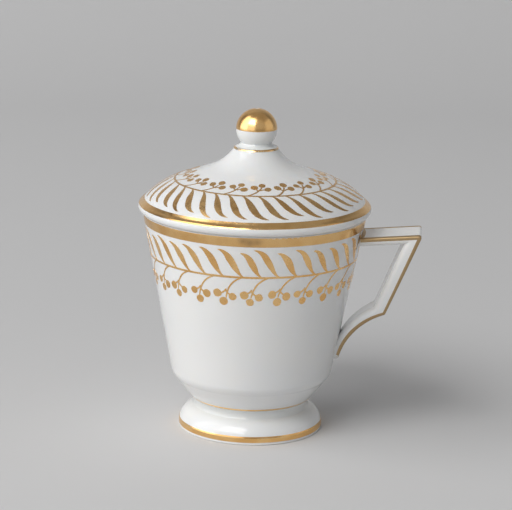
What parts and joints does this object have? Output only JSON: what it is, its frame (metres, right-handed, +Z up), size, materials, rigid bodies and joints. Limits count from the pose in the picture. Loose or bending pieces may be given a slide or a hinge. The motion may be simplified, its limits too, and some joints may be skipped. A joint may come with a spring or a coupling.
{
  "type": "covered custard cup",
  "caption": "Footed porcelain custard cup with a flaring wall, an angular strap handle, and a loose domed lid with a ball knob.",
  "frame": {"origin": "centre of the foot ring's standing plane, on the axis of the cup", "axes": "+Z up along the axis of the cup and lid, +X from the axis towards the handle"},
  "size_m": [0.0784, 0.0644, 0.0902],
  "materials": {
    "porcelain": "clear gloss glaze over white porcelain",
    "gilding": "soft bright gilding painted on the glaze"
  },
  "bodies": {
    "root": {"cup": "porcelain", "lid": "porcelain"}
  },
  "joints": []
}
